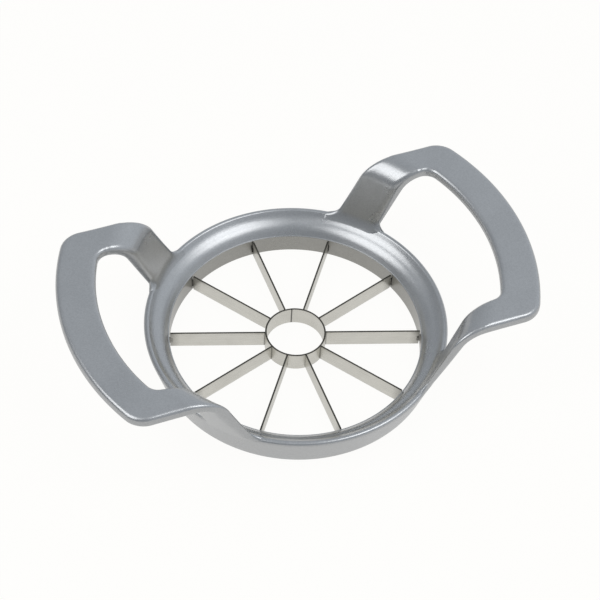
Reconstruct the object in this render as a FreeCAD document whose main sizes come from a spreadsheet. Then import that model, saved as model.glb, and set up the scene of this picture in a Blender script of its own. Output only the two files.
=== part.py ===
import FreeCAD, Part
import math
import os
import Sketcher

# Apple wedger with a cast two-handled frame, ten blades and a core ring.
#
# Millimetres, +Z up. The origin is the centre of the cutting ring on the plane that
# the ring stands on. X runs along the two handles and Y across them.
# The frame is one casting: a funnel-shaped ring, and a handle at each end whose skin is
# one S-shaped band turned about Z and trimmed to the handle's plan. The blades are thin
# plates on edge: each has a tab in a slot of the ring's wall and butts on the core ring.

doc = FreeCAD.newDocument("apple_wedger")

# Driving sizes

SIZES = [
    # ring of the casting, as radii about Z and heights above the base
    ("bore_radius", 45.1, "inside wall of the ring"),
    ("foot_width", 5.2, "width of the ring's foot"),
    ("inner_land_run", 2.7, "width of the steep land from the inside wall to the shelf"),
    ("shelf_run", 2.2, "width of the shelf of the funnel"),
    ("outer_land_run", 2.4, "width of the steep land from the shelf to the rim"),
    ("rim_width", 1.9, "width of the rim's flat top before it is rounded"),
    ("wall_top", 7.6, "top of the inside wall, where the funnel starts"),
    ("inner_land_rise", 3.1, "rise of the land from the inside wall to the shelf"),
    ("shelf_rise", 0.9, "rise of the shelf of the funnel"),
    ("outer_land_rise", 2.7, "rise of the land from the shelf to the rim"),
    ("rim_round", 1.1, "rounding of the rim's outer edge"),
    ("rim_inner_round", 0.9, "rounding of the rim's inner edge"),
    ("shelf_round", 1.6, "rounding of the shelf's two bends"),
    ("wall_round", 0.5, "rounding of the inside wall's top edge"),
    ("foot_round", 0.6, "rounding of the foot's outer edge"),
    # handles
    ("grip_top", 40.0, "height of the grip's top face"),
    ("grip_thickness", 4.0, "thickness of the grip"),
    ("finger_room", 15.5, "width of the finger opening from the ring's rim to the grip"),
    ("grip_width", 13.7, "width of the grip"),
    ("handle_half_width", 42.6, "half width over the two arms of one handle"),
    ("arm_width", 11.2, "width of one arm"),
    ("arm_lean", 17.0, "lean of the arm's inner face from upright, in degrees"),
    ("root_setback", 0.1, "how far the arm's inner face leaves the funnel below the rim"),
    ("arm_thickness", 2.7, "thickness of the arm, measured level, under the grip"),
    ("foot_cover", 0.1, "how far the arm's outer foot starts inside the ring's wall"),
    ("bend_radius", 11.0, "radius of the bend from arm to grip, on top"),
    ("grip_corner", 8.5, "corner radius of the handle's plan"),
    ("window_corner", 5.0, "corner radius of the finger opening at the grip"),
    ("top_round", 0.8, "rounding of the handle's upper edges"),
    ("under_round", 0.55, "rounding of the handle's lower edges"),
    ("side_share", 0.1, "most rounding that the thin foot of an arm takes, as a share of side_room"),
    ("cut_margin", 10.0, "how far a cut reaches past what it cuts"),
    # core ring
    ("core_radius", 10.9, "outside radius of the core ring"),
    ("core_thickness", 0.6, "thickness of the core ring's strip"),
    ("core_proud", 0.1, "how far the core ring stands over the blades' backs"),
    ("seam_gap", 0.16, "gap of the butt seam in the core ring"),
    ("seam_angle", 257.0, "direction of the seam about Z, in degrees"),
    # blades
    ("blade_count", 10, "number of blades"),
    ("first_blade_angle", 18.0, "direction of the first blade about Z, in degrees"),
    ("blade_thickness", 0.6, "thickness of a blade"),
    ("blade_drop", 0.3, "how far a blade's back lies under the top of the inside wall"),
    ("blade_bottom", 0.2, "height of a blade's cutting edge"),
    ("bevel_height", 1.1, "height of the ground bevel over the cutting edge"),
    ("edge_land", 0.12, "thickness left at the cutting edge"),
    ("shoulder_gap", 0.9, "gap from a blade's shoulder to the inside wall"),
    ("tab_bottom", 2.1, "height of the tab's lower edge"),
    ("tab_height", 2.8, "height of the tab"),
    ("tab_reach", 2.2, "how far the tab reaches into the wall"),
    ("slot_clearance", 0.5, "clearance of the slot over and under the tab"),
    ("slot_side_clearance", 0.2, "clearance of the slot on each side of the tab"),
    ("slot_end_clearance", 0.3, "clearance behind the tab"),
]

sheet = doc.addObject("Spreadsheet::Sheet", "Sizes")
for row, (alias, value, meaning) in enumerate(SIZES, start=1):
    sheet.set("A%d" % row, meaning)
    sheet.set("B%d" % row, str(value))
    sheet.setAlias("B%d" % row, alias)
doc.recompute()


def size(alias):
    return float(getattr(sheet, alias))


# Sizes that follow from the driving ones, each a cell with its own formula

DERIVED = [
    ("window_half_width", "=handle_half_width - arm_width"),
    ("grip_under", "=grip_top - grip_thickness"),
    ("lean_run", "=tan(arm_lean * 1deg)"),
    ("foot_radius", "=bore_radius + foot_width"),
    ("shelf_inner", "=bore_radius + inner_land_run"),
    ("shelf_outer", "=shelf_inner + shelf_run"),
    ("rim_inner", "=shelf_outer + outer_land_run"),
    ("rim_radius", "=rim_inner + rim_width"),
    ("shelf_inner_height", "=wall_top + inner_land_rise"),
    ("shelf_outer_height", "=shelf_inner_height + shelf_rise"),
    ("rim_height", "=shelf_outer_height + outer_land_rise"),
    ("grip_inner", "=rim_radius + finger_room"),
    ("grip_outer", "=grip_inner + grip_width"),
    ("funnel_slope", "=outer_land_rise / outer_land_run"),
    ("arm_root", "=rim_inner - root_setback"),
    ("arm_root_height", "=shelf_outer_height + (arm_root - shelf_outer) * funnel_slope"),
    ("root_depth", "=arm_root_height - shelf_outer_height"),
    ("arm_inner_foot", "=arm_root - root_depth * lean_run"),
    ("arm_inner_head", "=arm_root + (grip_top - arm_root_height) * lean_run"),
    ("wall_lean", "=(rim_radius - foot_radius) / rim_height"),
    ("arm_outer_foot", "=foot_radius + shelf_outer_height * wall_lean - foot_cover"),
    ("arm_outer_head", "=arm_inner_head + arm_thickness"),
    ("blade_outer", "=bore_radius - shoulder_gap"),
    ("tab_end", "=bore_radius + tab_reach"),
    ("tab_top", "=tab_bottom + tab_height"),
    ("slot_bottom", "=tab_bottom - slot_clearance"),
    ("slot_height", "=tab_height + 2 * slot_clearance"),
    ("bevel_head", "=blade_bottom + bevel_height"),
    ("slot_half_width", "=blade_thickness / 2 + slot_side_clearance"),
    ("slot_end", "=tab_end + slot_end_clearance"),
    ("core_bore", "=core_radius - core_thickness"),
    ("blade_top", "=wall_top - blade_drop"),
    ("core_height", "=blade_top + core_proud"),
    ("trim_reach", "=grip_outer + cut_margin"),
    ("trim_height", "=grip_top + cut_margin"),
    ("seam_height", "=core_height + cut_margin"),
    ("plan_start", "=core_radius"),
    ("side_room", "=arm_root - handle_half_width"),
    ("upper_round", "=min(top_round; side_room * side_share)"),
    ("lower_round", "=under_round * upper_round / top_round"),
]

for row, (alias, formula) in enumerate(DERIVED, start=len(SIZES) + 2):
    sheet.set("B%d" % row, formula)
    sheet.setAlias("B%d" % row, alias)
    doc.recompute()


# Tolerances in millimetres and cubic millimetres: an edge is known by its place, a level
# or upright one by the size of its box, and a real cut by the volume that it takes away

PLACE = 0.02
FLAT = 1e-4
LEAST_CUT = 0.001


# Sketch helpers

def new_body(label):
    body = doc.addObject("PartDesign::Body", label)
    body.Label = label
    return body


def origin_plane(body, role):
    return [item for item in body.Origin.OriginFeatures if item.Role == role][0]


def new_sketch(body, name, role, height=None, angle=None):
    """A sketch on an origin plane of the body, lifted by a size and turned by an angle."""
    sketch = body.newObject("Sketcher::SketchObject", name)
    sketch.AttachmentSupport = [(origin_plane(body, role), "")]
    sketch.MapMode = "FlatFace"
    if height:
        sketch.setExpression("AttachmentOffset.Base.z", height)
    if angle:
        sketch.AttachmentOffset = FreeCAD.Placement(
            FreeCAD.Vector(0, 0, 0), FreeCAD.Rotation(FreeCAD.Vector(0, 0, 1), 1)
        )
        sketch.setExpression("AttachmentOffset.Rotation.Angle", angle)
    return sketch


def value_of(sketch, text):
    result = sketch.evalExpression(text)
    return float(getattr(result, "Value", result))


def pin(sketch, geometry, end, across, up):
    """Hold one end of a line at a place given by two expressions."""
    for kind, text in (("DistanceX", across), ("DistanceY", up)):
        value = value_of(sketch, text)
        index = sketch.addConstraint(Sketcher.Constraint(kind, -1, 1, geometry, end, value))
        if text.strip("-0.") != "":
            sketch.setExpression("Constraints[%d]" % index, text)


def polygon(sketch, corners):
    """A closed outline of straight lines through corners given as pairs of expressions."""
    points = []
    for across, up in corners:
        points.append(FreeCAD.Vector(value_of(sketch, across), value_of(sketch, up), 0))
    first = sketch.GeometryCount
    count = len(points)
    for i in range(count):
        sketch.addGeometry(Part.LineSegment(points[i], points[(i + 1) % count]), False)
    for i in range(count):
        following = first + (i + 1) % count
        sketch.addConstraint(Sketcher.Constraint("Coincident", first + i, 2, following, 1))
    for i in range(count):
        pin(sketch, first + i, 1, corners[i][0], corners[i][1])


def revolve(body, sketch, name):
    feature = body.newObject("PartDesign::Revolution", name)
    feature.Profile = sketch
    feature.ReferenceAxis = (sketch, ["V_Axis"])
    feature.Angle = 360
    doc.recompute()
    return feature


def pocket(body, sketch, name, length, both_ways=False):
    """A pocket that goes up from the sketch, or both ways, and really removes material."""
    before = body.Shape.Volume
    feature = body.newObject("PartDesign::Pocket", name)
    feature.Profile = sketch
    feature.Reversed = True
    feature.Midplane = both_ways
    feature.setExpression("Length", length)
    doc.recompute()
    if not feature.Shape.Volume < before - LEAST_CUT:
        raise ValueError("%s cut nothing" % name)
    return feature


def fillet(body, name, radius, edges):
    """Round the named edges of the body's last feature with a size of the sheet."""
    feature = body.newObject("PartDesign::Fillet", name)
    feature.Base = (feature.BaseFeature, edges)
    feature.setExpression("Radius", radius)
    doc.recompute()
    return feature


def edge_names(shape, wanted):
    """Names of the edges for which the test, given the edge and its middle, is true."""
    names = []
    for number, edge in enumerate(shape.Edges, start=1):
        if edge.Length < FLAT:
            continue
        middle = edge.valueAt((edge.FirstParameter + edge.LastParameter) / 2)
        if wanted(edge, middle):
            names.append("Edge%d" % number)
    return names


def circle_at(radius, height):
    """Test for a level circular edge at a radius and a height."""
    def wanted(edge, middle):
        level = edge.BoundBox.ZLength < FLAT
        off = math.hypot(math.hypot(middle.x, middle.y) - radius, middle.z - height)
        return level and off < PLACE
    return wanted


# Casting: ring and handles

def handle_plan(sketch, side):
    """The plan of one handle's skin: two arms and the grip between two arcs about Z."""
    half = size("handle_half_width")
    inner_half = size("window_half_width")
    outer = size("grip_outer")
    inner = size("grip_inner")
    start = size("plan_start")
    outer_end = math.sqrt(outer ** 2 - half ** 2)
    inner_end = math.sqrt(inner ** 2 - inner_half ** 2)
    first = sketch.GeometryCount

    def arm_line(x_from, x_to, y):
        ends = [FreeCAD.Vector(side * x, side * y, 0) for x in (x_from, x_to)]
        sketch.addGeometry(Part.LineSegment(ends[0], ends[1]), False)

    def grip_arc(radius, half_chord):
        turn = math.asin(half_chord / radius)
        middle = 0 if side > 0 else math.pi
        circle = Part.Circle(FreeCAD.Vector(0, 0, 0), FreeCAD.Vector(0, 0, 1), radius)
        sketch.addGeometry(Part.ArcOfCircle(circle, middle - turn, middle + turn), False)

    arm_line(start, outer_end, -half)
    grip_arc(outer, half)
    arm_line(outer_end, start, half)
    sketch.addGeometry(Part.LineSegment(
        FreeCAD.Vector(side * start, side * half, 0),
        FreeCAD.Vector(side * start, side * inner_half, 0),
    ), False)
    arm_line(start, inner_end, inner_half)
    grip_arc(inner, inner_half)
    arm_line(inner_end, start, -inner_half)
    sketch.addGeometry(Part.LineSegment(
        FreeCAD.Vector(side * start, -side * inner_half, 0),
        FreeCAD.Vector(side * start, -side * half, 0),
    ), False)

    low, outer_arc, high, end_high, inner_high, inner_arc, inner_low, end_low = [
        first + i for i in range(8)
    ]
    joints = [
        (low, 2, outer_arc, 1),
        (outer_arc, 2, high, 1),
        (high, 2, end_high, 1),
        (end_high, 2, inner_high, 1),
        (inner_high, 2, inner_arc, 2),
        (inner_arc, 1, inner_low, 1),
        (inner_low, 2, end_low, 1),
        (end_low, 2, low, 1),
    ]
    for one, one_end, other, other_end in joints:
        sketch.addConstraint(Sketcher.Constraint("Coincident", one, one_end, other, other_end))
    for line in (low, high, inner_high, inner_low):
        sketch.addConstraint(Sketcher.Constraint("Horizontal", line))
    for arc, radius in ((outer_arc, "grip_outer"), (inner_arc, "grip_inner")):
        sketch.addConstraint(Sketcher.Constraint("Coincident", arc, 3, -1, 1))
        index = sketch.addConstraint(Sketcher.Constraint("Radius", arc, size(radius)))
        sketch.setExpression("Constraints[%d]" % index, "Sizes." + radius)
    for geometry, alias, sign in (
        (low, "handle_half_width", -side),
        (high, "handle_half_width", side),
        (inner_high, "window_half_width", side),
        (inner_low, "window_half_width", -side),
    ):
        end = 1 if geometry in (low, inner_high) else 2
        text = "%d * Sizes.%s" % (sign, alias)
        across = "%d * Sizes.plan_start" % side
        pin(sketch, geometry, end, across, text)


def trim_handles(body):
    """Cut away all of the turned band outside the plan of the two handles."""
    sketch = new_sketch(body, "handle_plan", "XY_Plane")
    reach = "Sizes.trim_reach"
    polygon(sketch, [
        ("-" + reach, "-" + reach),
        (reach, "-" + reach),
        (reach, reach),
        ("-" + reach, reach),
    ])
    for side in (1, -1):
        handle_plan(sketch, side)
    pocket(body, sketch, "handle_trim", "Sizes.trim_height")


def upright_corner(x, y):
    """Test for an upright edge over a place given by its distances from both planes."""
    def wanted(edge, middle):
        upright = edge.BoundBox.XLength < FLAT and edge.BoundBox.YLength < FLAT
        return upright and math.hypot(abs(middle.x) - x, abs(middle.y) - y) < PLACE
    return wanted


def upright_normal(face, point):
    """True where the face stands upright at the point."""
    u, v = face.Surface.parameter(point)
    return abs(face.normalAt(u, v).z) < PLACE


def handle_rims(shape, upper):
    """Edges between an upright side of a handle and its upper or lower skin."""
    def wanted(edge, middle):
        faces = shape.ancestorsOfType(edge, Part.Face)
        if len(faces) != 2:
            return False
        sides = [upright_normal(face, middle) for face in faces]
        if sides[0] == sides[1]:
            return False
        skin = faces[sides.index(False)]
        u, v = skin.Surface.parameter(middle)
        rises = skin.normalAt(u, v).z
        at_foot = middle.z < size("shelf_outer_height") + PLACE
        return (rises > 0) == upper and not at_foot
    return wanted


def handles():
    """The two handles, each with its two arms, trimmed from one turned S-shaped band."""
    body = new_body("handles")
    band = new_sketch(body, "handle_section", "XZ_Plane")
    polygon(band, [
        ("Sizes.arm_inner_foot", "Sizes.shelf_outer_height"),
        ("Sizes.arm_outer_foot", "Sizes.shelf_outer_height"),
        ("Sizes.arm_outer_head", "Sizes.grip_under"),
        ("Sizes.grip_outer", "Sizes.grip_under"),
        ("Sizes.grip_outer", "Sizes.grip_top"),
        ("Sizes.arm_inner_head", "Sizes.grip_top"),
    ])
    revolve(body, band, "handle_band")
    fillet(body, "bend", "Sizes.bend_radius", edge_names(
        body.Shape, circle_at(size("arm_inner_head"), size("grip_top"))))
    fillet(body, "under_bend", "Sizes.bend_radius - Sizes.grip_thickness", edge_names(
        body.Shape, circle_at(size("arm_outer_head"), size("grip_under"))))
    trim_handles(body)

    half = size("handle_half_width")
    inner_half = size("window_half_width")
    outer_end = math.sqrt(size("grip_outer") ** 2 - half ** 2)
    inner_end = math.sqrt(size("grip_inner") ** 2 - inner_half ** 2)
    fillet(body, "grip_corners", "Sizes.grip_corner", edge_names(
        body.Shape, upright_corner(outer_end, half)))
    fillet(body, "window_corners", "Sizes.window_corner", edge_names(
        body.Shape, upright_corner(inner_end, inner_half)))
    fillet(body, "upper_edges", "Sizes.upper_round", edge_names(
        body.Shape, handle_rims(body.Shape, True)))
    fillet(body, "lower_edges", "Sizes.lower_round", edge_names(
        body.Shape, handle_rims(body.Shape, False)))
    return body


def cast_frame():
    """The casting: the funnel-shaped ring with the two handles grown out of its rim."""
    body = new_body("cast_frame")
    ring = new_sketch(body, "ring_section", "XZ_Plane")
    polygon(ring, [
        ("Sizes.bore_radius", "0"),
        ("Sizes.foot_radius", "0"),
        ("Sizes.rim_radius", "Sizes.rim_height"),
        ("Sizes.rim_inner", "Sizes.rim_height"),
        ("Sizes.shelf_outer", "Sizes.shelf_outer_height"),
        ("Sizes.shelf_inner", "Sizes.shelf_inner_height"),
        ("Sizes.bore_radius", "Sizes.wall_top"),
    ])
    revolve(body, ring, "ring")
    rounded = [
        ("rim_radius", size("rim_height"), "rim_round", "rim_edge"),
        ("rim_inner", size("rim_height"), "rim_inner_round", "rim_inner_edge"),
        ("shelf_outer", size("shelf_outer_height"), "shelf_round", "outer_bend"),
        ("shelf_inner", size("shelf_inner_height"), "shelf_round", "inner_bend"),
        ("bore_radius", size("wall_top"), "wall_round", "wall_edge"),
        ("foot_radius", 0.0, "foot_round", "foot_edge"),
    ]
    for radius, height, rounding, name in rounded:
        fillet(body, name, "Sizes." + rounding, edge_names(
            body.Shape, circle_at(size(radius), height)))

    join = body.newObject("PartDesign::Boolean", "join")
    join.setObjects([handles()])
    join.Type = "Fuse"
    doc.recompute()
    cut_slots(body)
    return body


def cut_slots(body):
    """One slot in the ring's wall for the tab of each blade."""
    slot = new_sketch(body, "slot_plan", "XY_Plane", "Sizes.slot_bottom", "Sizes.first_blade_angle")
    polygon(slot, [
        ("Sizes.blade_outer", "-Sizes.slot_half_width"),
        ("Sizes.slot_end", "-Sizes.slot_half_width"),
        ("Sizes.slot_end", "Sizes.slot_half_width"),
        ("Sizes.blade_outer", "Sizes.slot_half_width"),
    ])
    first = pocket(body, slot, "first_slot", "Sizes.slot_height")
    pattern = body.newObject("PartDesign::PolarPattern", "slots")
    pattern.Originals = [first]
    pattern.Axis = (slot, ["N_Axis"])
    pattern.Angle = 360
    pattern.setExpression("Occurrences", "Sizes.blade_count")
    body.Tip = pattern
    before = first.Shape.Volume
    doc.recompute()
    if not pattern.Shape.Volume < before - LEAST_CUT:
        raise ValueError("the slot pattern cut nothing")


# Core ring

def core_ring():
    """A strip rolled into a ring, with a narrow butt seam."""
    body = new_body("core_ring")
    section = new_sketch(body, "strip_section", "XZ_Plane")
    polygon(section, [
        ("Sizes.core_bore", "0"),
        ("Sizes.core_radius", "0"),
        ("Sizes.core_radius", "Sizes.core_height"),
        ("Sizes.core_bore", "Sizes.core_height"),
    ])
    revolve(body, section, "strip")
    seam = new_sketch(body, "seam_plan", "XY_Plane", None, "Sizes.seam_angle")
    inside = "Sizes.core_bore - Sizes.core_thickness"
    outside = "Sizes.core_radius + Sizes.core_thickness"
    polygon(seam, [
        (inside, "-Sizes.seam_gap / 2"),
        (outside, "-Sizes.seam_gap / 2"),
        (outside, "Sizes.seam_gap / 2"),
        (inside, "Sizes.seam_gap / 2"),
    ])
    pocket(body, seam, "seam", "Sizes.seam_height")
    return body


# Blades

def blade(number):
    """A plate on edge from the core ring to the wall, with a tab and a ground lower edge."""
    body = new_body("blade_%02d" % number)
    side = new_sketch(body, "side", "XZ_Plane")
    polygon(side, [
        ("Sizes.core_radius", "Sizes.blade_bottom"),
        ("Sizes.blade_outer", "Sizes.blade_bottom"),
        ("Sizes.blade_outer", "Sizes.tab_bottom"),
        ("Sizes.tab_end", "Sizes.tab_bottom"),
        ("Sizes.tab_end", "Sizes.tab_top"),
        ("Sizes.blade_outer", "Sizes.tab_top"),
        ("Sizes.blade_outer", "Sizes.blade_top"),
        ("Sizes.core_radius", "Sizes.blade_top"),
    ])
    plate = body.newObject("PartDesign::Pad", "plate")
    plate.Profile = side
    plate.Midplane = True
    plate.setExpression("Length", "Sizes.blade_thickness")
    doc.recompute()

    ground = new_sketch(body, "ground_section", "YZ_Plane")
    for side_sign in ("", "-"):
        polygon(ground, [
            (side_sign + "Sizes.edge_land / 2", "Sizes.blade_bottom"),
            (side_sign + "Sizes.blade_thickness", "Sizes.blade_bottom"),
            (side_sign + "Sizes.blade_thickness", "Sizes.bevel_head"),
            (side_sign + "Sizes.blade_thickness / 2", "Sizes.bevel_head"),
        ])
    pocket(body, ground, "ground_edge", "Sizes.tab_end * 2", both_ways=True)
    turn = "Sizes.first_blade_angle + %d * 360 / Sizes.blade_count" % (number - 1)
    body.Placement = FreeCAD.Placement(
        FreeCAD.Vector(0, 0, 0), FreeCAD.Rotation(FreeCAD.Vector(0, 0, 1), 1)
    )
    body.setExpression("Placement.Rotation.Angle", turn)
    doc.recompute()
    return body


# All pieces, their checks and their files

nodes = [cast_frame(), core_ring()]
for number in range(1, int(size("blade_count")) + 1):
    nodes.append(blade(number))
doc.recompute()

for item in doc.Objects:
    if "Invalid" in item.State or "Error" in item.State:
        raise ValueError("%s did not compute: %s" % (item.Name, item.State))

os.makedirs("parts", exist_ok=True)
for node in nodes:
    shape = node.Shape
    if shape.isNull() or not shape.isValid() or len(shape.Solids) != 1:
        raise ValueError("%s is not one valid solid" % node.Label)
    shape.exportStep("parts/%s.step" % node.Label)
    print("%-12s volume %9.2f mm3" % (node.Label, shape.Volume))
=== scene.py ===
# %% [markdown]
# # An apple wedger in cast aluminium and strip steel
#
# The object is an apple slicer: a funnel-shaped ring with a loop handle at each end, all
# one die casting, and a star of ten thin blades round a small core ring. It is held by
# both grips and pushed straight down over an apple.
#
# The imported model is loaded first. It fixes where everything is, and every surface below
# is worked out in the same frame: metres, +Z up, X along the two handles, and the origin
# at the middle of the ring on the plane that it stands on.

# %% Load the fixed frame
import math

import bpy
import numpy as np
from mathutils import Matrix, Vector


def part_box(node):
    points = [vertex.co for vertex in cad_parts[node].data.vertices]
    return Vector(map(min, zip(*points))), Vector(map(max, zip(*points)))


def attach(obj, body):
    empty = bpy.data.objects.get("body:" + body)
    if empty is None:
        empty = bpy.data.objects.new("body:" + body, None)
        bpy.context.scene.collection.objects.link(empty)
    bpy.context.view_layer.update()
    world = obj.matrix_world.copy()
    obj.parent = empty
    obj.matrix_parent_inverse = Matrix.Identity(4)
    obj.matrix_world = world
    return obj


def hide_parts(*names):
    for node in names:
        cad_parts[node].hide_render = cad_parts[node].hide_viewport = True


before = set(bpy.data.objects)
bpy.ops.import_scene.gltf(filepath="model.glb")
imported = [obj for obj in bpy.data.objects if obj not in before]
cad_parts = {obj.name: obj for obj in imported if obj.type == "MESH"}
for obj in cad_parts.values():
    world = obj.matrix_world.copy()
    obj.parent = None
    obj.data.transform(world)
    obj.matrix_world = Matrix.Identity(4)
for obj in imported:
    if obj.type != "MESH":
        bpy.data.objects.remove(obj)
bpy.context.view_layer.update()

# %% [markdown]
# ## Sizes
#
# The sizes are written once, in millimetres as a toolmaker would, and turned into metres
# where a mesh is made. The overall reach comes from the loaded frame, so the dressed
# object can't drift away from the solids that it stands for.

# %% Sizes of the casting and the blades
MM = 0.001
_, frame_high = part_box("cast_frame")
GRIP_OUTER = frame_high.x / MM
GRIP_TOP = frame_high.z / MM
GRIP_THICKNESS = 4.0
GRIP_INNER = 69.8
HALF_WIDTH = 42.6
ARM_WIDTH = 11.2
WINDOW_HALF = HALF_WIDTH - ARM_WIDTH
GRIP_CORNER = 8.5
WINDOW_CORNER = 5.0

BORE = 45.1
FOOT = 50.3
RIM = 54.3
RIM_WIDTH = 1.9
RIM_HEIGHT = 14.3
WALL_TOP = 7.6
SHELF_IN = (47.4, 10.4)
SHELF_OUT = (50.5, 12.1)
SHELF_BEND = 8.0
LEDGE = 0.35

BLADES = 10
FIRST_BLADE = math.radians(18)
BLADE_THICKNESS = 0.6
SLOT_LOW, SLOT_HIGH = 1.6, 5.4
SLOT_WIDTH = 1.0
SLOT_DEPTH = 2.5
print("grip reach", round(GRIP_OUTER, 2), "mm, grip top", round(GRIP_TOP, 2), "mm")

# %% [markdown]
# ## Surfaces from two parameters
#
# Every new piece is a grid of points: one parameter runs along the piece and the other
# runs round its section. A single helper turns such a grid into a closed mesh. It adds a
# cap where the grid has an open end, and it measures the signed volume, which is
# positive only when the faces point outwards, and turns them round if it is not.


# %% A grid of points becomes a mesh
def grid_faces(rows, columns, close_rows, close_columns):
    """Four corners per cell; a closed direction joins the last line to the first."""
    i = np.arange(rows if close_rows else rows - 1)
    j = np.arange(columns if close_columns else columns - 1)
    i, j = np.meshgrid(i, j, indexing="ij")
    i_next = (i + 1) % rows
    j_next = (j + 1) % columns
    corners = [
        i * columns + j,
        i_next * columns + j,
        i_next * columns + j_next,
        i * columns + j_next,
    ]
    return np.stack([c.ravel() for c in corners], axis=1)


def signed_volume(points, quads):
    """A sixth of the sum of a . (b x c) over the triangles of every cell."""
    a, b, c, d = (points[quads[:, k]] for k in range(4))
    first = np.einsum("ij,ij->i", a, np.cross(b, c))
    second = np.einsum("ij,ij->i", a, np.cross(c, d))
    return float(first.sum() + second.sum()) / 6


SHARP_TURN = math.radians(32)


def surface(name, grids):
    """One mesh object from grids of points in millimetres, each closed round its section.

    A grid is (points, ring): points has shape (along, round, 3), and ring says whether
    the far end joins the near end. Open ends get a flat cap."""
    vertices = []
    loops = []
    counts = []
    start = 0
    for points, ring in grids:
        along, around = points.shape[:2]
        flat = points.reshape(-1, 3) * MM
        quads = grid_faces(along, around, ring, True)
        outward = signed_volume(flat, quads) > 0
        if not outward:
            quads = quads[:, ::-1]
        loops.append(quads.ravel() + start)
        counts.append(np.full(len(quads), 4))
        if not ring:
            near = np.arange(around)
            far = near + (along - 1) * around
            caps = (near, far[::-1]) if outward else (near[::-1], far)
            for cap in caps:
                loops.append(cap + start)
                counts.append(np.array([around]))
        vertices.append(flat)
        start += len(flat)
    vertices = np.concatenate(vertices)
    loops = np.concatenate(loops)
    counts = np.concatenate(counts)
    mesh = bpy.data.meshes.new(name)
    mesh.vertices.add(len(vertices))
    mesh.vertices.foreach_set("co", vertices.ravel())
    mesh.loops.add(len(loops))
    mesh.loops.foreach_set("vertex_index", loops)
    mesh.polygons.add(len(counts))
    mesh.polygons.foreach_set("loop_start", np.concatenate([[0], np.cumsum(counts)[:-1]]))
    mesh.polygons.foreach_set("loop_total", counts)
    mesh.update(calc_edges=True)
    mesh.validate()
    mesh.polygons.foreach_set("use_smooth", np.ones(len(mesh.polygons), bool))
    mesh.set_sharp_from_angle(angle=SHARP_TURN)
    piece = bpy.data.objects.new(name, mesh)
    bpy.context.scene.collection.objects.link(piece)
    print(name, len(vertices), "points,", len(counts), "faces")
    return piece


print("edges that turn by more than", round(math.degrees(SHARP_TURN)), "degrees stay sharp")


# %% [markdown]
# ## A path with rounded corners
#
# Castings have no sharp corners, because metal must flow and the part must leave the
# die. So each section is drawn as a few corners with a radius each. The rounding is
# exact: between two straight runs that turn by an angle, an arc of radius R starts
# R tan(angle / 2) before the corner and ends as far after it.


# %% Rounded corners
def rounded_path(corners, arc_points=9, run_points=4, closed=True):
    """Points along straight runs through corners (x, y, radius), with an arc at each."""
    xy = np.array([c[:2] for c in corners], float)
    radii = np.array([c[2] for c in corners], float)
    before = np.roll(xy, 1, axis=0) - xy
    after = np.roll(xy, -1, axis=0) - xy
    before /= np.linalg.norm(before, axis=1)[:, None]
    after /= np.linalg.norm(after, axis=1)[:, None]
    half = np.arccos(np.clip((before * after).sum(1), -1, 1)) / 2
    reach = radii / np.tan(half)
    bisector = before + after
    bisector /= np.maximum(np.linalg.norm(bisector, axis=1), 1e-9)[:, None]
    centre = xy + bisector * (radii / np.sin(half))[:, None]
    start = xy + before * reach[:, None]
    end = xy + after * reach[:, None]
    if not closed:
        start[0], end[0], start[-1], end[-1] = xy[0], xy[0], xy[-1], xy[-1]
    pieces = []
    last = len(corners) - 1
    for k in range(len(corners)):
        bare = radii[k] == 0 or (not closed and k in (0, last))
        if bare:
            pieces.append(xy[k : k + 1])
        else:
            a = start[k] - centre[k]
            b = end[k] - centre[k]
            swing = math.atan2(a[0] * b[1] - a[1] * b[0], a @ b)
            turn = np.linspace(0, swing, arc_points)[:, None]
            side = np.array([-a[1], a[0]])
            pieces.append(centre[k] + a * np.cos(turn) + side * np.sin(turn))
        if closed or k < last:
            step = np.linspace(0, 1, run_points + 2)[1:-1, None]
            pieces.append(end[k] + (start[(k + 1) % len(corners)] - end[k]) * step)
    return np.concatenate(pieces)


test_square = rounded_path([(0, 0, 1), (4, 0, 1), (4, 4, 1), (0, 4, 1)])
print("a rounded square of side 4 has", len(test_square), "points")

# %% [markdown]
# ## The ring
#
# The ring is one section turned about Z: a flat foot, an outer wall that leans out to
# the rim, a rounded rim, and a funnel that falls to the bore in two slopes with a
# gentler shelf between them. The shelf's bends are so wide that it is a soft wave, which
# catches the lamps as a bright band with no hard edge. Turning the bore leaves a fine
# ledge at its upper edge.
#
# Ten slots in the bore take the blades' tabs. A slot is a step in the radius: the bore's
# radius grows by the slot's depth where both the height and the angle lie inside it.
# Two lines of the grid lie close together at each side of a slot, so its walls are
# steep.

# %% Section of the ring
FOOT_INNER_ROUND = 0.3
FOOT_ROUND = 0.6
RIM_ROUND = 1.1
RIM_INNER_ROUND = 0.9
LEDGE_RISE = 0.1
LEDGE_ROUND = 0.15
BORE_ROUND = 0.12
ring_section = rounded_path([
    (BORE, 0.0, FOOT_INNER_ROUND),
    (FOOT, 0.0, FOOT_ROUND),
    (RIM, RIM_HEIGHT, RIM_ROUND),
    (RIM - RIM_WIDTH, RIM_HEIGHT, RIM_INNER_ROUND),
    (*SHELF_OUT, SHELF_BEND),
    (*SHELF_IN, SHELF_BEND),
    (BORE + LEDGE, WALL_TOP + LEDGE_RISE, LEDGE_ROUND),
    (BORE, WALL_TOP, BORE_ROUND),
], arc_points=14)
print("rounded section of the ring", len(ring_section), "points")

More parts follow.
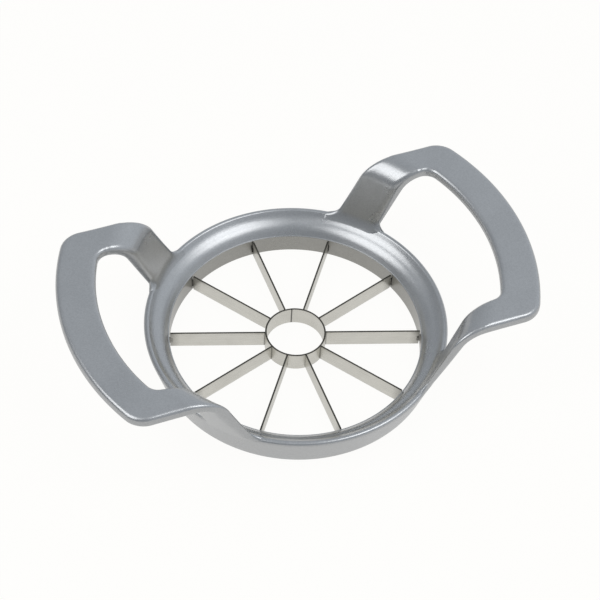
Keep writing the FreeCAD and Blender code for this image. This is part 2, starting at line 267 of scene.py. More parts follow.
# %% Lines of the section at the slots
LINE_GAP = 0.01
SLOT_MARGIN = 0.3
SAME_PLACE = 1e-6
bore_run = np.array([
    [BORE, SLOT_HIGH + LINE_GAP],
    [BORE, SLOT_HIGH],
    [BORE, SLOT_LOW],
    [BORE, SLOT_LOW - LINE_GAP],
])
radius, height = ring_section.T
on_bore = np.abs(radius - BORE) < SAME_PLACE
middle = on_bore & (height > SLOT_LOW - SLOT_MARGIN) & (height < SLOT_HIGH + SLOT_MARGIN)
ring_section = ring_section[~middle]
radius, height = ring_section.T
above = np.flatnonzero((np.abs(radius - BORE) < SAME_PLACE) & (height > SLOT_HIGH))
ring_section = np.insert(ring_section, above.max() + 1, bore_run, axis=0)
print("ring section", len(ring_section), "points")

# %% Turn the section about Z
blade_angles = FIRST_BLADE + np.arange(BLADES) * 2 * math.pi / BLADES
slot_turn = math.asin(SLOT_WIDTH / 2 / BORE)
SLOT_WALL_TURN = 0.0002
RING_STEPS = 540
even = np.linspace(0, 2 * math.pi, RING_STEPS + 1)[:-1]
beside = [blade_angles + s * (slot_turn + d) for s in (-1, 1) for d in (0, SLOT_WALL_TURN)]
angles = np.concatenate([even] + beside) % (2 * math.pi)
angles = np.unique(angles.round(7))


def turn_about_z(section, angles, slot=False):
    """x = r cos(angle), y = r sin(angle), z = z for each section point (r, z).

    With slot, r grows by the slot's depth on the bore inside a slot's angle and height."""
    radius = np.broadcast_to(section[:, 0], (len(angles), len(section))).copy()
    height = np.broadcast_to(section[:, 1], radius.shape)
    if slot:
        apart = (angles[:, None] - blade_angles + math.pi) % (2 * math.pi) - math.pi
        near = np.abs(apart).min(axis=1) < slot_turn + SLOT_WALL_TURN / 2
        inside = (height > SLOT_LOW - LINE_GAP / 2) & (height < SLOT_HIGH + LINE_GAP / 2)
        inside &= radius < BORE + SAME_PLACE
        radius = radius + SLOT_DEPTH * (near[:, None] & inside)
    return np.stack([
        radius * np.cos(angles)[:, None],
        radius * np.sin(angles)[:, None],
        height,
    ], axis=2)


ring = surface("casting_ring", [(turn_about_z(ring_section, angles, slot=True), True)])

# %% [markdown]
# ## The two handles
#
# Seen from the side, an arm leaves the funnel, climbs steeply and bends over into a level
# grip. Seen from above, the grip lies between two arcs about Z and the arms run straight.
# The S-curve depends only on the distance from Z, so the skin is a turned surface that
# the plan cuts out. The grid runs from one arm round the grip to the other arm, and the
# section is a rectangle with rounded edges whose corners follow the two contours.
#
# Each curve starts inside the ring's metal. On top it comes out of the shelf in a wide
# hollow bend. Underneath it runs a hair proud of the outer wall before it leaves it.

# %% The S-curve on top and underneath
LEAN = math.radians(17)
ROOT = (RIM - RIM_WIDTH - 0.1, 14.2)
ROOT_BEND = 14.0
ROOT_START = (49.5, 11.0)
BEND = 11.0
ARM_THICKNESS = 2.7
GRIP_UNDER = GRIP_TOP - GRIP_THICKNESS
SKIN_PROUD = 0.03
wall_lean = (RIM - FOOT) / RIM_HEIGHT
head_top = ROOT[0] + (GRIP_TOP - ROOT[1]) * math.tan(LEAN)
head_under = head_top + ARM_THICKNESS

top_curve = rounded_path([
    (*ROOT_START, 0),
    (ROOT[0], ROOT[1] + SKIN_PROUD, ROOT_BEND),
    (head_top, GRIP_TOP, BEND),
    (GRIP_OUTER, GRIP_TOP, 0),
], arc_points=60, run_points=40, closed=False)
# Each row is a height on the outer wall, a distance from the wall and a bend's radius.
ON_WALL = [(6.6, -0.2, 0), (9.0, SKIN_PROUD, 6.0), (12.4, SKIN_PROUD, 30.0)]
under_curve = rounded_path([
    *[(FOOT + z * wall_lean + proud, z, bend) for z, proud, bend in ON_WALL],
    (head_under, GRIP_UNDER, BEND - GRIP_THICKNESS),
    (GRIP_OUTER, GRIP_UNDER, 0),
], arc_points=60, run_points=40, closed=False)
print("top curve", len(top_curve), "points, underside", len(under_curve), "points")


def along_curve(curve, radius_end, shares):
    """Points of a curve at shares of its length, from its foot to a radius."""
    steps = np.linalg.norm(np.diff(curve, axis=0), axis=1)
    length = np.concatenate([[0], np.cumsum(steps)])
    end = np.interp(radius_end, curve[:, 0], length)
    places = end * shares
    return np.stack([np.interp(places, length, curve[:, k]) for k in (0, 1)], axis=1)


def height_at(curve, radius):
    """Height of a curve over a distance from Z, where the curve is past its steep run."""
    return np.interp(radius, curve[:, 0], curve[:, 1])


# %% Plan of the handle between its two contours
JOIN_RADIUS = 66.4
ROOT_SHARE = 0.3
near_root = np.linspace(0, ROOT_SHARE, 110)
arm_shares = np.concatenate([near_root, np.linspace(ROOT_SHARE, 1, 60)[1:-1]])


def contour(half, radius, corner, counts):
    """Half a contour, from the arm to the middle of the grip: run, corner arc, big arc.

    The corner arc touches the line y = half and the circle of the given radius, so its
    centre is at height half - corner and at radius - corner from Z."""
    start_x = math.sqrt(JOIN_RADIUS ** 2 - half ** 2)
    centre_y = half - corner
    centre_x = math.sqrt((radius - corner) ** 2 - centre_y ** 2)
    tilt = math.atan2(centre_y, centre_x)
    run = np.linspace(start_x, centre_x, counts[0] + 1)[:-1]
    run = np.stack([run, np.full_like(run, half)], axis=1)
    turn = np.linspace(math.pi / 2, tilt, counts[1] + 1)[:-1]
    bend = np.stack([centre_x + corner * np.cos(turn), centre_y + corner * np.sin(turn)], axis=1)
    swing = np.linspace(tilt, 0, counts[2])
    grip = radius * np.stack([np.cos(swing), np.sin(swing)], axis=1)
    return np.concatenate([run, bend, grip])


plan_counts = (30, 24, 60)
outer_contour = contour(HALF_WIDTH, GRIP_OUTER, GRIP_CORNER, plan_counts)
inner_contour = contour(WINDOW_HALF, GRIP_INNER, WINDOW_CORNER, plan_counts)
print("contour points", len(outer_contour), "grip width", round(GRIP_OUTER - GRIP_INNER, 2), "mm")


# %% Section of the handle
TOP_ROUND = 1.7
UNDER_ROUND = 1.2
ROUND_FIT = 0.9
FLAT_MARGIN = 0.1


def section_loop(arc=7, face=9):
    """Places round the section, as a distance from the nearest side and top or bottom.

    Each row is (side, across, level, up): side 0 is the window's side and 1 the outer
    one, level 0 is the underside and 1 the top. across and up are distances in
    millimetres from that side and that level; a negative across is a share of the width."""
    turn = np.linspace(0, math.pi / 2, arc)
    top = TOP_ROUND * (1 - np.sin(turn)), TOP_ROUND * (1 - np.cos(turn))
    low = UNDER_ROUND * (1 - np.sin(turn)), UNDER_ROUND * (1 - np.cos(turn))
    share = -np.linspace(0, 1, face + 2)[1:-1]
    rows = []
    rows.append(np.stack([np.zeros(arc), top[1], np.ones(arc), top[0]], axis=1))
    rows.append(np.stack([np.zeros(face), share, np.ones(face), np.zeros(face)], axis=1))
    rows.append(np.stack([np.ones(arc), top[1], np.ones(arc), top[0]], axis=1)[::-1])
    rows.append(np.stack([np.ones(arc), low[1], np.zeros(arc), low[0]], axis=1))
    rows.append(np.stack([np.ones(face), share, np.zeros(face), np.zeros(face)], axis=1))
    rows.append(np.stack([np.zeros(arc), low[1], np.zeros(arc), low[0]], axis=1)[::-1])
    return np.concatenate(rows)


def place_in_section(loop, width, depth):
    """Shares of the width and of the depth for each place of the loop at each step.

    Where the metal is too thin for both roundings they shrink together."""
    side, across, level, up = (loop[None, :, k] for k in range(4))
    fit = np.minimum(1, ROUND_FIT * depth / (TOP_ROUND + UNDER_ROUND))[:, None]
    up = up * fit
    distance = across * fit / width[:, None]
    flat_from = (TOP_ROUND * fit + FLAT_MARGIN) / width[:, None]
    share = np.where(side == 0, -across, 1 + across)
    inner = flat_from + share * (1 - 2 * flat_from)
    share_across = np.where(across < 0, inner, np.where(side == 0, distance, 1 - distance))
    lift = up / depth[:, None]
    share_up = np.where(level == 1, 1 - lift, lift)
    return share_across, share_up


print("section of a handle", len(section_loop()), "points")

# %% [markdown]
# ## Fillets where the arms meet the rim
#
# A casting needs a hollow rounding where an arm stands on the ring, or it would crack
# there. The arm's sides swing out in a quarter round just over the rim. The part that
# has swung out then sinks towards the middle of the rim, so that its tip ends inside
# the metal, and it fades out past the rim's outer edge.

# %% Grid of one handle
# The window's side has the first radius, and the outer side the second.
ROOT_FILLET = (4.2, 3.2)
FILLET_SINK = 0.08
RIM_CENTRE = np.array([52.9, 13.0])
TIP_SINK = 0.7
WING_END = RIM + 0.4
WING_RUN = 0.9


def root_fillet(height, radius):
    """How far a concave quarter round pushes a side out, by the height over the rim.

    It is radius - sqrt(radius^2 - (radius - rise)^2) up to a rise of one radius."""
    rise = np.clip(height - (RIM_HEIGHT - FILLET_SINK), 0, radius)
    return radius - np.sqrt(radius ** 2 - (radius - rise) ** 2)


def arm_part(loop):
    """The arm: each point has its own radius on the S-curve, and x = sqrt(r^2 - y^2).

    A point that the root fillet pushed out by a share e of the fillet's radius moves
    towards the middle of the rim by 0.7 e^2, so the fillet's tip sinks into the ring."""
    top = along_curve(top_curve, JOIN_RADIUS, arm_shares)[:, None, :]
    under = along_curve(under_curve, JOIN_RADIUS, arm_shares)[:, None, :]
    depth = np.linalg.norm(top - under, axis=2)[:, 0]
    width = np.full(len(depth), ARM_WIDTH)
    across, up = place_in_section(loop, width, depth)
    rz = under + (top - under) * up[:, :, None]
    radius, height = rz[:, :, 0], rz[:, :, 1]
    over_rim = np.clip((WING_END - radius) / WING_RUN, 0, 1)
    window_side, outer_side = (root_fillet(height, r) * over_rim for r in ROOT_FILLET)
    low = WINDOW_HALF - window_side
    high = HALF_WIDTH + outer_side
    y = low + (high - low) * across
    pushed = np.maximum((WINDOW_HALF - y) / ROOT_FILLET[0], (y - HALF_WIDTH) / ROOT_FILLET[1])
    keep = 1 - TIP_SINK * np.clip(pushed, 0, 1) ** 2
    radius, height = (c + (v - c) * keep for c, v in zip(RIM_CENTRE, (radius, height)))
    x = np.sqrt(radius ** 2 - y ** 2)
    return np.stack([x, y, height], axis=2)


def grip_part(loop):
    """Half the grip: a blend of the two contours, lifted to the curves' height there."""
    gap = outer_contour - inner_contour
    width = np.linalg.norm(gap, axis=1)
    depth = np.full(len(width), GRIP_THICKNESS)
    across, up = place_in_section(loop, width, depth)
    xy = inner_contour[:, None, :] + gap[:, None, :] * across[:, :, None]
    radius = np.linalg.norm(xy, axis=2)
    low = height_at(under_curve, radius)
    high = height_at(top_curve, radius)
    return np.concatenate([xy, (low + (high - low) * up)[:, :, None]], axis=2)


def handle_grid(side):
    """Arm, half grip, the mirror of both across X; side -1 turns it half round about Z."""
    loop = section_loop()
    half = np.concatenate([arm_part(loop), grip_part(loop)])
    mirror = half[:-1][::-1] * np.array([1, -1, 1])
    return np.concatenate([half, mirror]) * np.array([side, side, 1])


handle_plus = surface("casting_handle_plus", [(handle_grid(1), False)])
handle_minus = surface("casting_handle_minus", [(handle_grid(-1), False)])

# %% [markdown]
# ## The core ring
#
# The core ring is a strip of steel rolled until its ends meet. The seam stays visible as
# a hair-wide line, so the grid starts at one end of the strip and stops just short of
# where it began.

# %% Roll the strip
_, core_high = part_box("core_ring")
CORE_RADIUS = core_high.x / MM
CORE_HEIGHT = core_high.z / MM
CORE_THICKNESS = 0.6
SEAM = math.radians(257)
SEAM_GAP = 0.04


def strip_section(inner, outer, low, high, rounding):
    """A rectangle from inner to outer radius with slightly broken edges."""
    return rounded_path([
        (inner, low, rounding),
        (outer, low, rounding),
        (outer, high, rounding),
        (inner, high, rounding),
    ], arc_points=4, run_points=3)


STRIP_ROUND = 0.05
CORE_STEPS = 241
core_inner = CORE_RADIUS - CORE_THICKNESS
core_section = strip_section(core_inner, CORE_RADIUS, 0.0, CORE_HEIGHT, STRIP_ROUND)
half_gap = SEAM_GAP / 2 / CORE_RADIUS
core_angles = np.linspace(SEAM + half_gap, SEAM + 2 * math.pi - half_gap, CORE_STEPS)
core = surface("core_strip", [(turn_about_z(core_section, core_angles), False)])

# %% [markdown]
# ## The blades
#
# A blade is a plate on edge. Its section is a narrow upright shape: a rounded back, two
# flat faces, and two ground bevels that leave a fine edge at the bottom. The tab that
# enters the ring's slot is cut from the same plate, so it is a second short grid in the
# same mesh that starts inside the blade.

# %% One blade, turned to its place
BLADE_TOP = 7.3
BLADE_BOTTOM = 0.02
BEVEL = 1.1
EDGE_LAND = 0.12
SHOULDER = BORE - 0.35
END_RUN = 0.08
END_SHRINK = 0.8
TAB_OVERLAP = 1.0
TAB_LOW, TAB_HIGH = 2.1, 4.9
TAB_END = BORE + 2.2
EDGE_ROUND = 0.03
BEVEL_ROUND = 0.3
BACK_ROUND = 0.04
TAB_ROUND = 0.1


def blade_grid(section, x_from, x_to, steps):
    """The section (y, z) carried along X, drawn in slightly at the last step."""
    x = np.linspace(x_from, x_to, steps)
    x = np.concatenate([x[:-1], [x_to - END_RUN, x_to]])
    shrink = np.ones(len(x))
    shrink[-1] = END_SHRINK
    y = section[None, :, 0] * shrink[:, None]
    z = np.broadcast_to(section[None, :, 1], y.shape)
    return np.stack([np.broadcast_to(x[:, None], y.shape), y, z], axis=2)


def blade(number, angle):
    """Plate and tab, turned about Z: x' = x cos a - y sin a, y' = x sin a + y cos a."""
    half = BLADE_THICKNESS / 2
    plate = rounded_path([
        (-EDGE_LAND / 2, BLADE_BOTTOM, EDGE_ROUND),
        (EDGE_LAND / 2, BLADE_BOTTOM, EDGE_ROUND),
        (half, BLADE_BOTTOM + BEVEL, BEVEL_ROUND),
        (half, BLADE_TOP, BACK_ROUND),
        (-half, BLADE_TOP, BACK_ROUND),
        (-half, BLADE_BOTTOM + BEVEL, BEVEL_ROUND),
    ], arc_points=4, run_points=2)
    tab = strip_section(-half, half, TAB_LOW, TAB_HIGH, TAB_ROUND)
    turn = np.array([
        [math.cos(angle), math.sin(angle), 0],
        [-math.sin(angle), math.cos(angle), 0],
        [0, 0, 1],
    ])
    grids = [
        (blade_grid(plate, CORE_RADIUS, SHOULDER, 8) @ turn, False),
        (blade_grid(tab, SHOULDER - TAB_OVERLAP, TAB_END, 4) @ turn, False),
    ]
    return surface("blade_plate_%02d" % number, grids)


blade_pieces = [blade(k + 1, a) for k, a in enumerate(blade_angles)]

# %% [markdown]
# ## Casting finish
#
# The casting is silver lacquer over cast aluminium: a soft metallic gloss with broad
# highlights and a very fine sparkle. The sparkle comes from cells about a third of a
# millimetre across that tilt the surface a little and change its brightness by a few
# percent, as metal flakes in the lacquer do. A slow cloud of roughness breaks the
# highlights up, and a shallow orange-peel waviness stops them from looking drawn. The
# bore is turned after casting, so up to its radius the metal is bare and warmer. Its
# colour there is also darker, a painted shade for the shadowed floor that the bore mirrors.


# %% Node helpers
# Most of a noise texture's values lie in this range.
NOISE_RANGE = (0.3, 0.7)


def new_material(name):
    """An empty node tree with one Principled shader on the output."""
    material = bpy.data.materials.new(name)
    material.use_nodes = True
    nodes = material.node_tree.nodes
    nodes.clear()
    output = nodes.new("ShaderNodeOutputMaterial")
    shader = nodes.new("ShaderNodeBsdfPrincipled")
    material.node_tree.links.new(shader.outputs["BSDF"], output.inputs["Surface"])
    return material, material.node_tree, shader


def add(tree, kind, **values):
    """A node with its sockets or settings given by name."""
    node = tree.nodes.new(kind)
    for key, value in values.items():
        if key in node.inputs:
            node.inputs[key].default_value = value
        else:
            setattr(node, key, value)
    return node


def remap(tree, source, low, high, from_low=0.0, from_high=1.0):
    """A number from one range carried to another."""
    node = add(tree, "ShaderNodeMapRange")
    node.inputs["From Min"].default_value = from_low
    node.inputs["From Max"].default_value = from_high
    node.inputs["To Min"].default_value = low
    node.inputs["To Max"].default_value = high
    tree.links.new(source, node.inputs["Value"])
    return node.outputs["Result"]


# %% Silver lacquer on the casting
CAST_COLOUR = (0.455, 0.463, 0.470)
# The bore's colour: warmer as bare turned metal, and darker as a painted shade.
TURNED_AND_SHADED_COLOUR = (0.345, 0.340, 0.320)
FLAKES_PER_METRE = 3200.0
CLOUDS_PER_METRE = 55.0
PEEL_PER_METRE = 620.0
LACQUER_ROUGHNESS = (0.26, 0.33)
FLAKE_TINT = (0.93, 1.07)
CLOUD_TINT = (0.97, 1.03)
SHADED_BORE_TO, LACQUER_FROM = BORE + 0.05, BORE + 0.2


def casting_material():
    """Colour = (silver, or bare metal with painted shade on the bore) x flake x cloud; bump =
    flakes + peel.

    The roughness follows the cloud alone."""
    material, tree, shader = new_material("silver_casting")
    link = tree.links.new
    place = add(tree, "ShaderNodeTexCoord")
    flakes = add(tree, "ShaderNodeTexVoronoi", Scale=FLAKES_PER_METRE)
    link(place.outputs["Object"], flakes.inputs["Vector"])
    cloud = add(tree, "ShaderNodeTexNoise", Scale=CLOUDS_PER_METRE, Detail=3.0)
    link(place.outputs["Object"], cloud.inputs["Vector"])
    peel = add(tree, "ShaderNodeTexNoise", Scale=PEEL_PER_METRE, Detail=2.0)
    link(place.outputs["Object"], peel.inputs["Vector"])

    flake_value = add(tree, "ShaderNodeSeparateColor")
    link(flakes.outputs["Color"], flake_value.inputs["Color"])
    sparkle = remap(tree, flake_value.outputs["Red"], *FLAKE_TINT)
    tint = remap(tree, cloud.outputs["Fac"], *CLOUD_TINT, *NOISE_RANGE)
    both = add(tree, "ShaderNodeMath", operation="MULTIPLY")
    link(sparkle, both.inputs[0])
    link(tint, both.inputs[1])
    flat = add(tree, "ShaderNodeVectorMath", operation="MULTIPLY")
    flat.inputs[1].default_value = (1.0, 1.0, 0.0)
    link(place.outputs["Object"], flat.inputs[0])
    radius = add(tree, "ShaderNodeVectorMath", operation="LENGTH")
    link(flat.outputs["Vector"], radius.inputs[0])
    # Painted shade: up to the bore's radius the colour turns darker, for the shadowed floor it
    # mirrors.
    turned = remap(tree, radius.outputs["Value"], 1, 0, SHADED_BORE_TO * MM, LACQUER_FROM * MM)
    finish = add(tree, "ShaderNodeMix", data_type="RGBA")
    finish.inputs["A"].default_value = (*CAST_COLOUR, 1)
    finish.inputs["B"].default_value = (*TURNED_AND_SHADED_COLOUR, 1)
    link(turned, finish.inputs["Factor"])
    colour = add(tree, "ShaderNodeVectorMath", operation="SCALE")
    link(finish.outputs["Result"], colour.inputs[0])
    link(both.outputs["Value"], colour.inputs["Scale"])
    link(colour.outputs["Vector"], shader.inputs["Base Color"])

    rough = remap(tree, cloud.outputs["Fac"], *LACQUER_ROUGHNESS, *NOISE_RANGE)
    link(rough, shader.inputs["Roughness"])
    shader.inputs["Metallic"].default_value = 0.92
    shader.inputs["Coat Weight"].default_value = 0.12
    shader.inputs["Coat Roughness"].default_value = 0.12

    flake_bump = add(tree, "ShaderNodeBump", Strength=0.10, Distance=0.00004)
    link(flake_value.outputs["Green"], flake_bump.inputs["Height"])
    peel_bump = add(tree, "ShaderNodeBump", Strength=0.12, Distance=0.00008)
    link(peel.outputs["Fac"], peel_bump.inputs["Height"])
    link(flake_bump.outputs["Normal"], peel_bump.inputs["Normal"])
    link(peel_bump.outputs["Normal"], shader.inputs["Normal"])
    return material


casting_silver = casting_material()
for piece in (ring, handle_plus, handle_minus):
    piece.data.materials.append(casting_silver)
print("one flake is about", round(1000 / FLAKES_PER_METRE, 2), "mm across")

# %% [markdown]
# ## Strip steel
#
# The blades and the core ring are cold-rolled stainless strip. Rolling leaves fine
# lines along the strip, so the noise that drives the roughness and the bump is squeezed
# across the strip and stretched along it. A Mapping node turns the pattern to each
# blade. On the core ring the lines run round, so the pattern reads the angle about Z.
# The strip's upper edge is coloured nearly black, a painted shade along the top, and the
# last few millimetres before the wall are darker, a painted shade where the blade meets
# the wall. The blades' inner ends darken at the welds, partly weld stain and partly painted
# shade in the corner at the core ring. The core ring's seam is a dark line, partly its own
# colour and partly painted shade in the gap: both marks are a distance, from Z or from the
# seam, turned into a shade.

# %% Brushed strip
STEEL_COLOUR = (0.680, 0.668, 0.620)
# Painted shade: the nearly black colour of the strips' top edges.
TOP_SHADE_COLOUR = (0.100, 0.095, 0.080)
# Painted shade: the blades darken over the last millimetres before the wall.
WALL_SHADE_START = BORE - 4.0
WALL_SHADE = 0.55
# Weld stain and painted shade: the blades darken next to the core ring.
WELD_SHADE = 0.30
WELD_RUN = 0.55
# The seam's own colour and painted shade in its gap.
SEAM_SHADE = 0.22
SEAM_REACH = (0.33, 0.44)
TOP_SHADE_REACH = (0.10, 0.04)
STEEL_ROUGHNESS = (0.26, 0.40)
LINE_TINT = (0.93, 1.07)
STAIN_TINT = (0.96, 1.04)
STAINS_PER_METRE = 160.0
SEAM_MIDDLE = (CORE_RADIUS - CORE_THICKNESS / 2) * MM
SEAM_PLACE = (SEAM_MIDDLE * math.cos(SEAM), SEAM_MIDDLE * math.sin(SEAM), 0.0)
LINE_ACROSS = 5200.0
LINE_ALONG = 90.0


def strip_material(name, angle=None):
    """Steel with rolling lines along local X, or round Z where no angle is given."""
    material, tree, shader = new_material(name)
    link = tree.links.new
    place = add(tree, "ShaderNodeTexCoord")
    if angle is None:
        split = add(tree, "ShaderNodeSeparateXYZ")
        link(place.outputs["Object"], split.inputs["Vector"])
        round_z = add(tree, "ShaderNodeMath", operation="ARCTAN2")
        link(split.outputs["Y"], round_z.inputs[0])
        link(split.outputs["X"], round_z.inputs[1])
        along = add(tree, "ShaderNodeMath", operation="MULTIPLY")
        along.inputs[1].default_value = CORE_RADIUS * MM
        link(round_z.outputs["Value"], along.inputs[0])
        strip_place = add(tree, "ShaderNodeCombineXYZ")
        link(along.outputs["Value"], strip_place.inputs["X"])
        link(split.outputs["Z"], strip_place.inputs["Z"])
        source = strip_place.outputs["Vector"]
    else:
        turned = add(tree, "ShaderNodeMapping", vector_type="TEXTURE")
        turned.inputs["Rotation"].default_value = (0.0, 0.0, angle)
        link(place.outputs["Object"], turned.inputs["Vector"])
        source = turned.outputs["Vector"]
    stretch = add(tree, "ShaderNodeMapping")
    stretch.inputs["Scale"].default_value = (LINE_ALONG, LINE_ACROSS, LINE_ACROSS)
    link(source, stretch.inputs["Vector"])
    lines = add(tree, "ShaderNodeTexNoise", Scale=1.0, Detail=3.0)
    link(stretch.outputs["Vector"], lines.inputs["Vector"])
    stain = add(tree, "ShaderNodeTexNoise", Scale=STAINS_PER_METRE, Detail=3.0)
    link(place.outputs["Object"], stain.inputs["Vector"])

    line_tint = remap(tree, lines.outputs["Fac"], *LINE_TINT, *NOISE_RANGE)
    stain_tint = remap(tree, stain.outputs["Fac"], *STAIN_TINT, *NOISE_RANGE)
    both = add(tree, "ShaderNodeMath", operation="MULTIPLY")
    link(line_tint, both.inputs[0])
    link(stain_tint, both.inputs[1])
    height = add(tree, "ShaderNodeSeparateXYZ")
    link(place.outputs["Object"], height.inputs["Vector"])
    back = BLADE_TOP if angle is not None else CORE_HEIGHT
    # Painted shade: the colour turns nearly black over the last fraction of a millimetre at the
    # top.
    top_shade_from, top_shade_to = ((back - reach) * MM for reach in TOP_SHADE_REACH)
    top_shade = remap(tree, height.outputs["Z"], 0, 1, top_shade_from, top_shade_to)
    finish = add(tree, "ShaderNodeMix", data_type="RGBA")
    finish.inputs["A"].default_value = (*STEEL_COLOUR, 1)
    finish.inputs["B"].default_value = (*TOP_SHADE_COLOUR, 1)
    link(top_shade, finish.inputs["Factor"])
    flat = add(tree, "ShaderNodeVectorMath", operation="MULTIPLY")
    flat.inputs[1].default_value = (1.0, 1.0, 0.0)
    link(place.outputs["Object"], flat.inputs[0])
    radius = add(tree, "ShaderNodeVectorMath", operation="LENGTH")
    link(flat.outputs["Vector"], radius.inputs[0])
    # Painted shade: the colour darkens towards the wall, where the wall shades the blade.
    wall_shading = remap(tree, radius.outputs["Value"], 1, WALL_SHADE, WALL_SHADE_START * MM, BORE * MM)
    wall_shaded = add(tree, "ShaderNodeMath", operation="MULTIPLY")
    link(wall_shading, wall_shaded.inputs[0])
    link(both.outputs["Value"], wall_shaded.inputs[1])
    if angle is None:
        # Partly the seam's own colour and partly painted shade: a dark line along the seam's gap.
        seam = add(tree, "ShaderNodeVectorMath", operation="DISTANCE")
        seam.inputs[1].default_value = SEAM_PLACE
        link(flat.outputs["Vector"], seam.inputs[0])
        dark_to, light_from = (reach * MM for reach in SEAM_REACH)
        joint = remap(tree, seam.outputs["Value"], SEAM_SHADE, 1, dark_to, light_from)
    else:
        # Partly weld stain and partly painted shade in the corner where the blade meets the core
        # ring.
        weld_from, weld_to = CORE_RADIUS * MM, (CORE_RADIUS + WELD_RUN) * MM
        joint = remap(tree, radius.outputs["Value"], WELD_SHADE, 1, weld_from, weld_to)
    shaded = add(tree, "ShaderNodeMath", operation="MULTIPLY")
    link(wall_shaded.outputs["Value"], shaded.inputs[0])
    link(joint, shaded.inputs[1])
    colour = add(tree, "ShaderNodeVectorMath", operation="SCALE")
    link(finish.outputs["Result"], colour.inputs[0])
    link(shaded.outputs["Value"], colour.inputs["Scale"])
    link(colour.outputs["Vector"], shader.inputs["Base Color"])
    rough = remap(tree, lines.outputs["Fac"], *STEEL_ROUGHNESS, *NOISE_RANGE)
    link(rough, shader.inputs["Roughness"])
    shader.inputs["Metallic"].default_value = 1.0
    bump = add(tree, "ShaderNodeBump", Strength=0.18, Distance=0.00003)
    link(lines.outputs["Fac"], bump.inputs["Height"])
    link(bump.outputs["Normal"], shader.inputs["Normal"])
    return material


core.data.materials.append(strip_material("core_steel"))
for k, piece in enumerate(blade_pieces):
    piece.data.materials.append(strip_material("blade_steel_%02d" % (k + 1), blade_angles[k]))
print("steel materials", 1 + len(blade_pieces))

# %% [markdown]
# ## What each piece stands for
#
# Nothing on this tool moves, so every piece rides on the one body. The ring and the
# handles together stand for the casting, and each strip piece stands for its own node.

# %% Ride and replace
for piece in (ring, handle_plus, handle_minus):
    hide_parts("cast_frame")
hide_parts("core_ring")
for k, piece in enumerate(blade_pieces):
    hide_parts("blade_%02d" % (k + 1))
pieces = [ring, handle_plus, handle_minus, core] + blade_pieces
for piece in pieces:
    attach(piece, "root")
print(len(pieces), "pieces ride on the one body")

# %% [markdown]
# ## Floor
#
# The photograph has a pure white ground. The floor is a plain white sheet that shows
# almost white to the camera and still takes the object's soft shadow. The metal mirrors
# the floor too, and there the floor is set darker, to match the photograph's reflections.


# %% Floor
def plain_sheet(name, half_side, height):
    """A level square about Z."""
    mesh = bpy.data.meshes.new(name)
    corners = [(-half_side, -half_side, height), (half_side, -half_side, height),
               (half_side, half_side, height), (-half_side, half_side, height)]
    mesh.from_pydata(corners, [], [(0, 1, 2, 3)])
    sheet = bpy.data.objects.new(name, mesh)
    bpy.context.scene.collection.objects.link(sheet)
    return sheet


MIRRORED_FLOOR = 0.82
GLOW_SHARE = 0.96
GLOW_COLOUR = (1.0, 0.995, 0.98)
SHEET_COLOUR = (0.90, 0.90, 0.89)
FLOOR_HALF_SIDE = 3.0
FLOOR_HEIGHT = -0.0002


def floor_material():
    """Camera sees mostly an even white; the rest is a white matt sheet with the shadow."""
    material = bpy.data.materials.new("white_sheet")
    material.use_nodes = True
    tree = material.node_tree
    tree.nodes.clear()
    link = tree.links.new
    output = tree.nodes.new("ShaderNodeOutputMaterial")
    matt = add(tree, "ShaderNodeBsdfDiffuse")
    matt.inputs["Color"].default_value = (*SHEET_COLOUR, 1)
    glow = add(tree, "ShaderNodeEmission")
    glow.inputs["Color"].default_value = (*GLOW_COLOUR, 1)
    path = tree.nodes.new("ShaderNodeLightPath")
    link(remap(tree, path.outputs["Is Glossy Ray"], 1.0, MIRRORED_FLOOR), glow.inputs["Strength"])
    seen = add(tree, "ShaderNodeMath", operation="MAXIMUM")
    link(path.outputs["Is Camera Ray"], seen.inputs[0])
    link(path.outputs["Is Glossy Ray"], seen.inputs[1])
    share = add(tree, "ShaderNodeMath", operation="MULTIPLY")
    share.inputs[1].default_value = GLOW_SHARE
    link(seen.outputs["Value"], share.inputs[0])
    mix = tree.nodes.new("ShaderNodeMixShader")
    link(share.outputs["Value"], mix.inputs["Fac"])
    link(matt.outputs["BSDF"], mix.inputs[1])
    link(glow.outputs["Emission"], mix.inputs[2])
    link(mix.outputs["Shader"], output.inputs["Surface"])
    return material


floor = plain_sheet("floor", FLOOR_HALF_SIDE, FLOOR_HEIGHT)
floor.data.materials.append(floor_material())
print("floor glows by", GLOW_SHARE, "where the camera sees it")

# %% [markdown]
# ## Light
#
# Polished metal shows its surroundings, so the light was found from the photograph's
# own reflections: for a bright or dark place on a bend, the view is mirrored at the
# surface there, and that gives the direction of the light. The bends are bright towards
# a soft box at the left of the picture and towards a smaller one at the right, and the
# rest of the room is a cool grey that is lighter to the right.

# %% World and lamps
BRIGHT_SIDE = (-0.985, -0.174, 0.0)
ROOM_LEVEL = 0.53
ROOM_RISE = 0.03
ROOM_SIDE = 0.22
ROOM_COLOUR = (0.93, 0.985, 1.05)


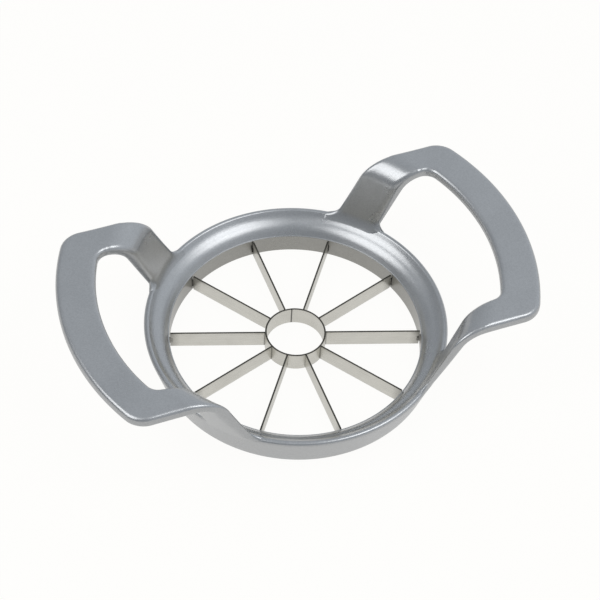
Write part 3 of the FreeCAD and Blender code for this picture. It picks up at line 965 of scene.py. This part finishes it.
def room_world():
    """Level = base + rise x height + side x (direction . bright side); white to the camera."""
    world = bpy.data.worlds.new("studio")
    bpy.context.scene.world = world
    world.use_nodes = True
    tree = world.node_tree
    tree.nodes.clear()
    link = tree.links.new
    output = tree.nodes.new("ShaderNodeOutputWorld")
    direction = add(tree, "ShaderNodeTexCoord")
    split = add(tree, "ShaderNodeSeparateXYZ")
    link(direction.outputs["Generated"], split.inputs["Vector"])
    across = add(tree, "ShaderNodeVectorMath", operation="DOT_PRODUCT")
    across.inputs[1].default_value = BRIGHT_SIDE
    link(direction.outputs["Generated"], across.inputs[0])
    rise = remap(tree, split.outputs["Z"], 0, ROOM_RISE)
    low, high = ROOM_LEVEL - ROOM_SIDE, ROOM_LEVEL + ROOM_SIDE
    side = remap(tree, across.outputs["Value"], low, high, -1, 1)
    level = add(tree, "ShaderNodeMath", operation="ADD")
    link(rise, level.inputs[0])
    link(side, level.inputs[1])
    room = add(tree, "ShaderNodeBackground")
    room.inputs["Color"].default_value = (*ROOM_COLOUR, 1)
    link(level.outputs["Value"], room.inputs["Strength"])
    white = add(tree, "ShaderNodeBackground", Strength=1.0)
    white.inputs["Color"].default_value = (1, 1, 1, 1)
    path = tree.nodes.new("ShaderNodeLightPath")
    choose = tree.nodes.new("ShaderNodeMixShader")
    link(path.outputs["Is Camera Ray"], choose.inputs["Fac"])
    link(room.outputs["Background"], choose.inputs[1])
    link(white.outputs["Background"], choose.inputs[2])
    link(choose.outputs["Shader"], output.inputs["Surface"])


room_world()
LEFT_BOX = (0.594, 0.052, 0.674)
LEFT_WIDTH, LEFT_WATTS = 0.72, 2.45
RIGHT_BOX = (-0.36, 0.30, 0.77)
RIGHT_WIDTH, RIGHT_WATTS = 0.55, 1.6


def soft_light(name, place, target, width, watts):
    """A round area lamp at a place, turned to look at the target."""
    lamp = bpy.data.lights.new(name, "AREA")
    lamp.shape = "DISK"
    lamp.size = width
    lamp.energy = watts
    holder = bpy.data.objects.new(name, lamp)
    bpy.context.scene.collection.objects.link(holder)
    holder.location = place
    look = Vector(target) - Vector(place)
    holder.rotation_mode = "QUATERNION"
    holder.rotation_quaternion = look.to_track_quat("-Z", "Y")


soft_light("left_box", LEFT_BOX, (0, 0, 0), LEFT_WIDTH, LEFT_WATTS)
soft_light("right_box", RIGHT_BOX, (0, 0, 0), RIGHT_WIDTH, RIGHT_WATTS)
print("soft boxes", LEFT_WIDTH, "m and", RIGHT_WIDTH, "m wide")

# %% [markdown]
# ## Camera
#
# The camera stands where the photograph was taken from: its direction, roll and
# distance come from a fit of the ring, the core ring and the ten blades, which are all
# circles and straight lines of known shape.

# %% Camera
CAMERA_TURN = 156.7
CAMERA_HEIGHT = 50.7
CAMERA_ROLL = 3.63
CAMERA_DISTANCE = 0.700
CAMERA_AIM = (-0.00907, -0.01884, 0.0)
PIXELS_PER_METRE_AT_AIM = 2720.0
IMAGE_SIDE = 600

camera_data = bpy.data.cameras.new("camera")
camera_data.sensor_width = 36.0
focal_pixels = PIXELS_PER_METRE_AT_AIM * CAMERA_DISTANCE
camera_data.lens = focal_pixels / IMAGE_SIDE * camera_data.sensor_width
camera = bpy.data.objects.new("camera", camera_data)
bpy.context.scene.collection.objects.link(camera)
turn, height, roll = (math.radians(v) for v in (CAMERA_TURN, CAMERA_HEIGHT, CAMERA_ROLL))
level = math.cos(height)
back = Vector((math.sin(turn) * level, -math.cos(turn) * level, math.sin(height)))
right = Vector((math.cos(turn), math.sin(turn), 0.0))
up = back.cross(right)
right, up = (
    right * math.cos(roll) + up * math.sin(roll),
    up * math.cos(roll) - right * math.sin(roll),
)
pose = Matrix((right, up, back)).transposed().to_4x4()
pose.translation = Vector(CAMERA_AIM) + back * CAMERA_DISTANCE
camera.matrix_world = pose
bpy.context.scene.camera = camera
bpy.context.scene.view_settings.view_transform = "Standard"
print("lens", round(camera_data.lens, 1), "mm at", round(pose.translation.length, 3), "m")
